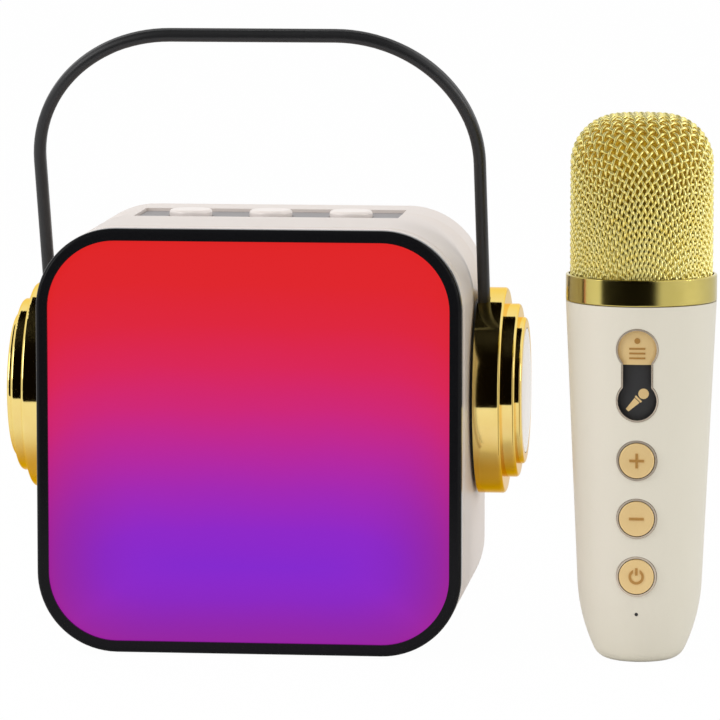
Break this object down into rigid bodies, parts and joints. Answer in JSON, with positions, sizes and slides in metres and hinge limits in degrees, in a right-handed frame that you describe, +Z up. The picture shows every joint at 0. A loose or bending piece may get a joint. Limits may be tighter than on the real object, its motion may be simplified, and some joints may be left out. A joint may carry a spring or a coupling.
{
  "type": "karaoke speaker with wireless microphone",
  "caption": "Cube karaoke speaker with a lit rounded-square front, stepped round side knobs, a slim folding hoop handle and a separate handheld wireless microphone with a woven head.",
  "frame": {"origin": "centre of the speaker's base pad, on the floor", "axes": "+X to the speaker's right as seen from the front, toward the microphone; +Y to the rear, the lit front faces -Y; +Z up"},
  "size_m": [0.2022, 0.1011, 0.1731],
  "materials": {
    "light_panel": "satin translucent, lit from behind in red, magenta and purple",
    "bezel": "gloss black",
    "shell": "satin champagne",
    "white_plastic": "matt white",
    "white_board": "white lacquered board with light chips",
    "strip": "satin grey",
    "top_buttons": "satin pinkish champagne",
    "circuit_board": "green lacquered board",
    "rubber": "matt black",
    "grille_black": "matt black",
    "steel": "plain steel",
    "cone": "matt pressed paper",
    "black_plastic": "matt black",
    "cell_wrap": "satin blue sleeve",
    "handle_black": "satin black",
    "gold": "mirror gold plating",
    "cap": "gloss cream",
    "mic_shell": "satin warm cream",
    "gold_metal": "polished",
    "gold_wire": "polished woven wire",
    "liner": "golden yellow foam liner",
    "rim": "satin bronze"
  },
  "bodies": {
    "speaker": {"front_diffuser": "light_panel", "front_bezel": "bezel", "front_band": "shell", "light_tray": "white_plastic", "led_board": "white_board", "main_shell": "shell", "top_panel": "strip", "button_board": "circuit_board", "base_pad": "rubber", "rear_cover": "shell", "rear_grille": "grille_black", "driver_basket": "steel", "driver_surround": "rubber", "driver_cone": "cone", "driver_magnet": "steel", "driver_screws": "steel", "main_board": "circuit_board", "usb_socket": "steel", "aux_socket": "black_plastic", "card_slot": "steel", "power_switch": "black_plastic", "battery_cell": "cell_wrap", "battery_cradle": "black_plastic", "rear_screws": "steel", "knob_hub_left": "black_plastic", "knob_hub_right": "black_plastic", "knob_screws": "steel", "hub_nuts": "steel"},
    "handle": {"handle": "handle_black", "knob_base_left": "gold", "knob_step_left": "gold", "knob_ring_left": "gold", "knob_cap_left": "cap", "knob_base_right": "gold", "knob_step_right": "gold", "knob_ring_right": "gold", "knob_cap_right": "cap"},
    "left_button": {"button_left": "top_buttons"},
    "middle_button": {"button_middle": "top_buttons"},
    "right_button": {"button_right": "top_buttons"},
    "power_slide_knob": {"power_slider": "black_plastic"},
    "microphone": {"mic_body": "mic_shell", "mic_collar": "gold_metal", "mic_grille": "gold_wire", "mic_foam": "liner", "mic_capsule": "steel", "capsule_mount": "black_plastic", "mic_board": "circuit_board", "mic_battery": "cell_wrap", "switch_rim": "rim", "switch_track": "black_plastic", "button_rims": "rim", "mic_indicator": "black_plastic", "mic_usb_socket": "steel"},
    "mic_slider": {"switch_slider": "gold"},
    "plus_button": {"mic_plus": "gold"},
    "minus_button": {"mic_minus": "gold"},
    "mic_power_button": {"mic_power": "gold"}
  },
  "joints": [
    {"name": "handle_fold", "type": "hinge", "parent": "speaker", "child": "handle", "pos_m": [0, 0.008, 0.0687], "axis": [1, 0, 0], "range_deg": [-112, 68]},
    {"name": "left_press", "type": "slide", "parent": "speaker", "child": "left_button", "axis": [0, 0, -1], "range_m": [0, 0.0008], "stiffness_N_per_m": 400},
    {"name": "middle_press", "type": "slide", "parent": "speaker", "child": "middle_button", "axis": [0, 0, -1], "range_m": [0, 0.0008], "stiffness_N_per_m": 400},
    {"name": "right_press", "type": "slide", "parent": "speaker", "child": "right_button", "axis": [0, 0, -1], "range_m": [0, 0.0008], "stiffness_N_per_m": 400},
    {"name": "power_slide", "type": "slide", "parent": "speaker", "child": "power_slide_knob", "axis": [1, 0, 0], "range_m": [0, 0.004]},
    {"name": "microphone_lift", "type": "slide", "parent": "speaker", "child": "microphone", "axis": [0, 0, 1], "range_m": [0, 0.15]},
    {"name": "mic_switch_slide", "type": "slide", "parent": "microphone", "child": "mic_slider", "axis": [0, 0.0455, -0.999], "range_m": [0, 0.0152]},
    {"name": "plus_press", "type": "slide", "parent": "microphone", "child": "plus_button", "axis": [0, 1, 0], "range_m": [0, 0.0006], "stiffness_N_per_m": 400},
    {"name": "minus_press", "type": "slide", "parent": "microphone", "child": "minus_button", "axis": [0, 1, 0], "range_m": [0, 0.0006], "stiffness_N_per_m": 400},
    {"name": "mic_power_press", "type": "slide", "parent": "microphone", "child": "mic_power_button", "axis": [0, 1, 0], "range_m": [0, 0.0006], "stiffness_N_per_m": 400}
  ]
}
